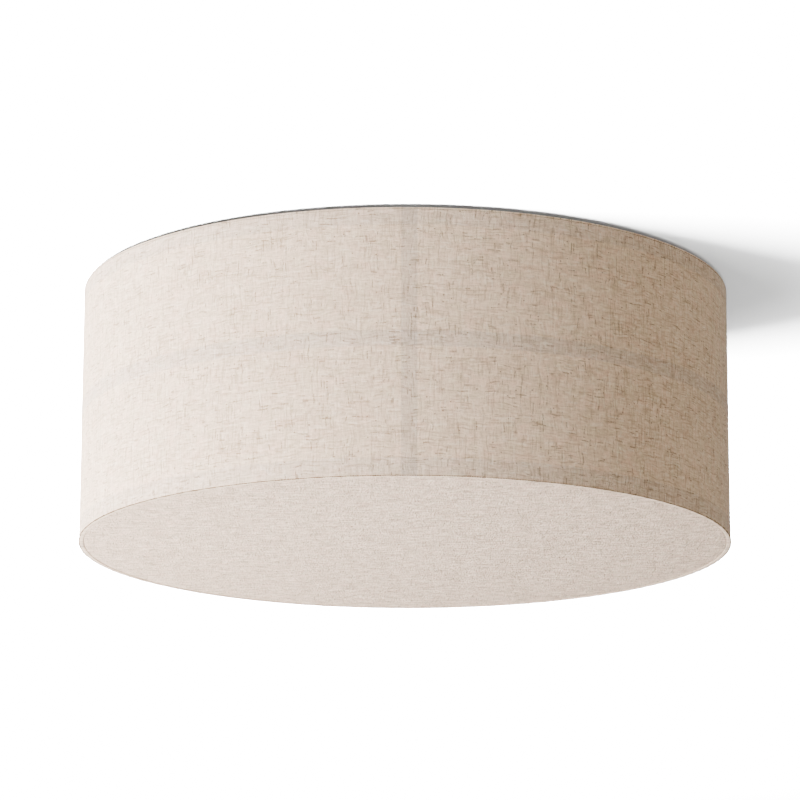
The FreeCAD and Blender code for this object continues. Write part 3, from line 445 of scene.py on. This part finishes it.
FOLD = 0.55
outer_rows = [TOP - 0.8, TOP - 1.1, TOP - 1.4, TOP - 1.7, TOP - 2.1, TOP - 3.1, TOP - 4.2]
z = -8.0
while z > -195.0:
    step = 1.5 if (-16.5 < z < -11.5 or -107.5 < z < -89.5 or z < -183.5) else 3.0
    outer_rows.append(z)
    z -= step
outer_rows += [BOTTOM + 3.4, BOTTOM + 2.2, BOTTOM + 1.5, BOTTOM + 1.1, BOTTOM + 0.8]
for zz in outer_rows:
    station(R_OUT, zz, 1)
for rr, zz in arc(R_OUT - FOLD, BOTTOM + FOLD, FOLD, 0, -90, 6):
    station(rr, zz, 1)
for rr, zz in arc(R_FLAP_IN + FOLD, BOTTOM + FOLD, FOLD, -90, -180, 6):
    station(rr, zz, 1)
for zz in (BOTTOM + 4.0, BOTTOM + 8.0, BOTTOM + 11.6):
    station(R_FLAP_IN, zz, 0.3)
station(R_FLAP_IN + 0.12, BOTTOM + 12.0, 0)
station(R_FLAP_OUT - 0.12, BOTTOM + 12.0, 0)
for zz in (BOTTOM + 11.6, BOTTOM + 6.0):
    station(R_FLAP_OUT, zz, 0)
for rr, zz in arc(R_FLAP_OUT + 0.5, BOTTOM + 1.1, 0.5, 180, 270, 3):
    station(rr, zz, 0)
for rr, zz in arc(R_IN - 0.5, BOTTOM + 1.1, 0.5, -90, 0, 3):
    station(rr, zz, 0)
for zz in (-180.0, -150.0, -120.0, -98.0, -80.0, -50.0, -20.0):
    station(R_IN, zz, 0)
for rr, zz in arc(R_IN - 0.5, TOP - 1.1, 0.5, 0, 90, 3):
    station(rr, zz, 0)
for rr, zz in arc(R_FLAP_OUT + 0.5, TOP - 1.1, 0.5, 90, 180, 3):
    station(rr, zz, 0)
for zz in (TOP - 6.0, TOP - 11.6):
    station(R_FLAP_OUT, zz, 0)
station(R_FLAP_OUT - 0.12, TOP - 12.0, 0)
station(R_FLAP_IN + 0.12, TOP - 12.0, 0)
for zz in (TOP - 11.6, TOP - 8.0, TOP - 4.0):
    station(R_FLAP_IN, zz, 0.3)
for rr, zz in arc(R_FLAP_IN + FOLD, TOP - FOLD, FOLD, 180, 90, 6):
    station(rr, zz, 1)
for rr, zz in arc(R_OUT - FOLD, TOP - FOLD, FOLD, 90, 0, 6):
    station(rr, zz, 1)

# angle 0 is the front; the lap at the back has its own close columns
columns = 528
half_lap = 6.0 / 250.0
angles = []
for k in range(columns):
    a = -math.pi + (k + 0.5) * 2 * math.pi / columns
    if abs(abs(a) - math.pi) > half_lap + 0.012:
        angles.append(a)
for d in (-half_lap - 0.009, -half_lap - 0.005, -half_lap - 0.0022, -half_lap - 0.0009, -half_lap - 0.0001,
          -half_lap + 0.0012, -0.012, 0.0, 0.010, half_lap - 0.006, half_lap, half_lap + 0.006, half_lap + 0.012):
    a = math.pi + d
    if a > math.pi:
        a -= 2 * math.pi
    angles.append(a)
angles.sort()


def lap_rise(a):
    """How far the lapped end stands up: a cut edge on one side, easing off on the other."""
    d = a - math.pi if a > 0 else a + math.pi
    if d < -half_lap - 0.0009:
        return 0.0
    if d < -half_lap + 0.0001:
        return 0.58 * (d + half_lap + 0.0009) / 0.0010
    return 0.58 * (1 - smooth01((d - half_lap * 0.2) / (half_lap * 1.3)))


def over_frame(a, zz):
    """The cloth stands a hair proud where a strip of the frame lies behind it."""
    def band(v, lo, hi, soft):
        return smooth01((v - lo + soft) / (2 * soft)) * (1 - smooth01((v - hi + soft) / (2 * soft)))
    e = max(band(zz, -104.4, -92.4, 1.8), band(zz, -14.1, -2.0, 1.8), band(zz, -199.4, -187.4, 1.8))
    q = (a % (math.pi / 2)) * 250.0
    q = min(q, math.pi / 2 * 250.0 - q)
    return max(e, 1 - smooth01((q - 4.0) / 3.0))


rings = []
for rad, zz, skin in profile:
    ring = []
    for a in angles:
        rr, zc = rad, zz
        if skin:
            p = Vector((math.cos(a) * 3.0, math.sin(a) * 3.0, zz * 0.014))
            slow = mnoise.noise(p * 1.3)
            quick = mnoise.noise(p * 9.0 + Vector((7.0, 3.0, 1.0)))
            edge = min(abs(zz - TOP), abs(zz - BOTTOM))
            if skin == 1:
                rr += 0.10 * slow + 0.035 * quick + 0.10 * over_frame(a, zz)
                # the folded edge stands out a hair, with a furrow behind it
                if rad > 249:
                    rr += 0.09 * math.exp(-((edge - 0.7) / 0.45) ** 2) - 0.10 * math.exp(-((edge - 1.45) / 0.35) ** 2)
                    rr += lap_rise(a)
                zc += 0.03 * mnoise.noise(Vector((math.cos(a) * 14, math.sin(a) * 14, 5.0 + (zz > -100)))) * math.exp(-edge / 1.5)
            else:
                rr += 0.06 * quick * skin
        ring.append((rr * math.sin(a) * MM, -rr * math.cos(a) * MM, zc * MM))
    rings.append(ring)
drum_cloth = closed_turn("drum_cloth", angles, rings, MATERIALS["linen"])
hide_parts("drum_fabric")
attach(drum_cloth, "shade")


# ---------------------------------------------------------------- hem yarns, their dark brown partly painted shade of the furrow
def yarn(name, rad, zz, seed, thick=0.34, pitch=2.6):
    """A two-ply yarn laid round the drum in the furrow under the rolled hem; its dark brown is partly the yarn's own
    colour and partly painted shade of the furrow.
    """
    n_along, n_round = 1320, 8
    turns = round(2 * math.pi * rad / pitch)
    verts, faces = [], []
    for i in range(n_along):
        a = 2 * math.pi * i / n_along
        wob = 0.05 * mnoise.noise(Vector((math.cos(a) * 20, math.sin(a) * 20, seed)))
        fat = 1.0 + 0.35 * mnoise.noise(Vector((math.cos(a) * 45, math.sin(a) * 45, seed + 4.0)))
        spin = turns * a
        lift = lap_rise(a if a <= math.pi else a - 2 * math.pi) * 0.9
        for k in range(n_round):
            b = 2 * math.pi * k / n_round
            # an oval section that turns along the yarn reads as two plies
            ex, ez = thick * 1.28 * math.cos(b) * fat, thick * 0.80 * math.sin(b) * fat
            dx = ex * math.cos(spin) - ez * math.sin(spin)
            dz = ex * math.sin(spin) + ez * math.cos(spin)
            rr = rad + lift + dx
            verts.append((rr * math.sin(a) * MM, -rr * math.cos(a) * MM, (zz + wob + dz) * MM))
    for i in range(n_along):
        j = (i + 1) % n_along
        for k in range(n_round):
            q = (k + 1) % n_round
            faces.append((i * n_round + k, j * n_round + k, j * n_round + q, i * n_round + q))
    obj = new_mesh(name, verts, faces, hem_yarn_painted_shade)
    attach(obj, "shade")
    return obj


yarn_top = yarn("hem_yarn_top", 249.99, TOP - 1.45, 2.0, 0.20, 1.6)
yarn_bottom = yarn("hem_yarn_bottom", 250.18, BOTTOM + 0.24, 9.0, 0.42, 2.2)

# ---------------------------------------------------------------- the diffuser's cloth
# A linen disc stretched under the opal sheet and turned in over its edge.
D_R, D_LOW, D_IN, D_TURN_LOW, D_TURN_HIGH, P_R = 246.55, -199.55, -198.8, -195.7, -195.1, 245.8
stations = []
for i in range(34):
    t = i / 33.0
    stations.append((max(0.001, (D_R - 0.28) * (t ** 0.8)), D_LOW, 1))
for rr, zz in arc(D_R - 0.28, D_LOW + 0.28, 0.28, -90, 0, 6)[1:]:
    stations.append((rr, zz, 1))
for rr, zz in arc(D_R - 1.1, D_TURN_HIGH - 1.1, 1.1, 0, 90, 5):
    stations.append((rr, zz, 1))
for rr in (D_R - 4.0, D_R - 7.0, D_R - 10.0, D_R - 11.8):
    stations.append((rr, D_TURN_HIGH, 2))
stations.append((D_R - 12.0, D_TURN_HIGH - 0.15, 0))
stations.append((D_R - 12.0, D_TURN_LOW + 0.15, 0))
for rr in (D_R - 11.8, D_R - 7.0, D_R - 3.0, P_R - 0.4):
    stations.append((rr, D_TURN_LOW, 0))
for rr, zz in arc(P_R - 0.4, D_TURN_LOW - 0.4, 0.4, 90, 0, 3)[1:]:
    stations.append((rr, zz, 0))
for rr, zz in arc(P_R - 0.7, D_IN + 0.7, 0.7, 0, -90, 4):
    stations.append((rr, zz, 0))
for i in range(10):
    t = 1 - (i + 1) / 10.0
    stations.append((max(0.001, (P_R - 0.7) * t), D_IN, 0))

d_cols = 480
d_angles = [2 * math.pi * k / d_cols for k in range(d_cols)]
verts, faces = [], []
for i, (rad, zz, skin) in enumerate(stations):
    for a in d_angles:
        x, y = rad * math.sin(a), -rad * math.cos(a)
        zc, rr = zz, rad
        sag = 0.9 * (1 - (min(rad, D_R) / D_R) ** 2) if skin in (0, 1) and zz < -198.0 else 0.0
        zc -= sag * (1.0 if skin == 1 else 1.0)
        if skin == 1:
            zc += 0.05 * mnoise.noise(Vector((x * 0.02, y * 0.02, 3.0)))
            pull = smooth01((rad - 215.0) / 31.0)
            zc += 0.07 * pull * mnoise.noise(Vector((math.cos(a) * 11, math.sin(a) * 11, 8.0)))
            rr += 0.06 * pull * mnoise.noise(Vector((math.cos(a) * 16, math.sin(a) * 16, 2.0)))
        if skin == 2:
            zc += 0.16 * (0.5 + 0.5 * math.sin(96 * a + 2.0 * math.sin(7 * a))) * smooth01((D_R - rad) / 8.0)
        verts.append((rr * math.sin(a) * MM, -rr * math.cos(a) * MM, zc * MM))
n = len(stations)
for i in range(n - 1):
    for k in range(d_cols):
        q = (k + 1) % d_cols
        faces.append((i * d_cols + k, i * d_cols + q, (i + 1) * d_cols + q, (i + 1) * d_cols + k))
# the two centres are closed with one point each
for end, zz, turn in ((0, D_LOW - 0.9, True), (n - 1, D_IN - 0.9, False)):
    c = len(verts)
    verts.append((0.0, 0.0, zz * MM))
    for k in range(d_cols):
        q = (k + 1) % d_cols
        f = (c, end * d_cols + k, end * d_cols + q)
        faces.append(f if not turn else f[::-1])
disc_cloth = new_mesh("diffuser_cloth", verts, faces, MATERIALS["diffuser_linen"])
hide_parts("diffuser_fabric")
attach(disc_cloth, "shade")

# ---------------------------------------------------------------- stage
def stage_disc(name, radius, zz, face_down, rings_n=24, cols=96):
    verts, faces = [(0, 0, zz)], []
    for i in range(1, rings_n + 1):
        rad = radius * (i / rings_n) ** 2
        for k in range(cols):
            a = 2 * math.pi * k / cols
            verts.append((rad * math.cos(a), rad * math.sin(a), zz))
    for k in range(cols):
        faces.append((0, 1 + k, 1 + (k + 1) % cols))
    for i in range(rings_n - 1):
        for k in range(cols):
            a, b = 1 + i * cols, 1 + (i + 1) * cols
            q = (k + 1) % cols
            faces.append((a + k, b + k, b + q, a + q))
    if face_down:
        faces = [f[::-1] for f in faces]
    obj = new_mesh(name, verts, faces, None, False)
    obj.data.materials.clear()
    for flag in ("visible_diffuse", "visible_glossy", "visible_transmission", "visible_volume_scatter", "visible_shadow"):
        setattr(obj, flag, False)
    return obj


# The ceiling is seen from below only; from above it isn't there.
ceiling = stage_disc("ceiling", 9.0, 0.0013, True)
m = Material("ceiling_white")
m.tree.nodes.remove(m.shader)
dif = m.add("ShaderNodeBsdfDiffuse")
m.put(dif.inputs["Color"], (0.15, 0.15, 0.15))
clear = m.add("ShaderNodeBsdfTransparent")
haze = m.add("ShaderNodeEmission")
m.put(haze.inputs["Strength"], 0.13)
both = m.add("ShaderNodeAddShader")
m.put(both.inputs[0], dif.outputs[0])
m.put(both.inputs[1], haze.outputs[0])
pick = m.add("ShaderNodeMixShader")
m.put(pick.inputs[0], m.add("ShaderNodeNewGeometry").outputs["Backfacing"])
m.put(pick.inputs[1], both.outputs[0])
m.put(pick.inputs[2], clear.outputs[0])
m.put(m.out.inputs[0], pick.outputs[0])
ceiling.data.materials.append(m.mat)

# The floor of the room, plain and pale, fading into the background far away.
floor = stage_disc("floor", 34.0, -2.4, False)
m = Material("floor_pale")
m.tree.nodes.remove(m.shader)
dif = m.add("ShaderNodeBsdfDiffuse")
m.put(dif.inputs["Color"], (0.82, 0.81, 0.79))
glow = m.add("ShaderNodeEmission")
m.put(glow.inputs["Color"], (1.0, 0.99, 0.975))
m.put(glow.inputs["Strength"], 2.6)
both = m.add("ShaderNodeAddShader")
m.put(both.inputs[0], dif.outputs[0])
m.put(both.inputs[1], glow.outputs[0])
far = m.add("ShaderNodeEmission")
m.put(far.inputs["Color"], (1.0, 1.0, 1.0))
m.put(far.inputs["Strength"], 4.5)
dist = m.add("ShaderNodeVectorMath", operation="LENGTH")
x, y, z = m.split(m.place(1.0))
m.put(dist.inputs[0], m.vec(x, y))
pick = m.add("ShaderNodeMixShader")
m.put(pick.inputs[0], m.span(dist.outputs["Value"], 5.0, 16.0, 0.0, 1.0, True))
m.put(pick.inputs[1], both.outputs[0])
m.put(pick.inputs[2], far.outputs[0])
m.put(m.out.inputs[0], pick.outputs[0])
floor.data.materials.append(m.mat)

world = bpy.data.worlds.new("studio")
scene.world = world
world.use_nodes = True
wt = world.node_tree
wt.nodes.clear()
w_out = wt.nodes.new("ShaderNodeOutputWorld")
bg = wt.nodes.new("ShaderNodeBackground")
bg.inputs["Color"].default_value = (1.0, 0.985, 0.965, 1.0)
path = wt.nodes.new("ShaderNodeLightPath")
a1 = wt.nodes.new("ShaderNodeMath"); a1.operation = "MULTIPLY_ADD"
wt.links.new(path.outputs["Is Camera Ray"], a1.inputs[0])
a1.inputs[1].default_value, a1.inputs[2].default_value = 4.4, 0.09
a2 = wt.nodes.new("ShaderNodeMath"); a2.operation = "MULTIPLY_ADD"
wt.links.new(path.outputs["Is Glossy Ray"], a2.inputs[0])
a2.inputs[1].default_value = 0.6
wt.links.new(a1.outputs[0], a2.inputs[2])
wt.links.new(a2.outputs[0], bg.inputs["Strength"])
wt.links.new(bg.outputs[0], w_out.inputs[0])

# ---------------------------------------------------------------- light
only_ceiling = bpy.data.collections.new("only_ceiling")
only_ceiling.objects.link(ceiling)
all_but_ceiling = bpy.data.collections.new("all_but_ceiling")
all_but_ceiling.objects.link(ceiling)
all_but_ceiling.collection_objects[0].light_linking.link_state = "EXCLUDE"


def softbox(name, azimuth, below, distance, width, height, radiance, colour=(1, 1, 1), target=(0, 0, -0.1), on=None):
    """A rectangle of light at an azimuth from the front (+ to the right) and an angle below the level."""
    az, el = math.radians(azimuth + TURN), math.radians(below)
    d = Vector((math.sin(az) * math.cos(el), -math.cos(az) * math.cos(el), -math.sin(el)))
    light = bpy.data.lights.new(name, "AREA")
    light.shape = "RECTANGLE"
    light.size, light.size_y = width, height
    light.energy = radiance * math.pi * width * height
    light.color = colour
    obj = bpy.data.objects.new(name, light)
    scene.collection.objects.link(obj)
    obj.location = Vector(target) + d * distance
    obj.rotation_mode = "QUATERNION"
    obj.rotation_quaternion = (-d).to_track_quat("-Z", "Y")
    obj.visible_camera = False
    obj.light_linking.receiver_collection = on or all_but_ceiling
    return obj


softbox("key", -77.9, 18.4, 0.60, 1.41, 1.38, 13.6, (1.0, 0.935, 0.895))
softbox("fill", 31.0, 0.0, 2.2, 1.6, 1.6, 4.0, (1.0, 0.86, 0.68))
softbox("overhead", 0.0, -90.0, 3.0, 0.42, 0.42, 150.0, (1.0, 0.985, 0.96))
softbox("back", 172.0, -12.0, 2.2, 1.6, 1.6, 3.4, (1.0, 0.96, 0.92))
softbox("ceiling_wash", -92.0, 45.0, 2.34, 3.2, 0.60, 5600.0, on=only_ceiling)
softbox("ceiling_wide", -92.0, 45.0, 2.34, 6.8, 0.80, 190.0, on=only_ceiling)
softbox("ceiling_edge", -92.0, 64.0, 2.2, 2.2, 1.5, 95.0, on=only_ceiling)
softbox("ceiling_glow", 0.0, 90.0, 2.1, 6.0, 6.0, 11.5, on=only_ceiling)
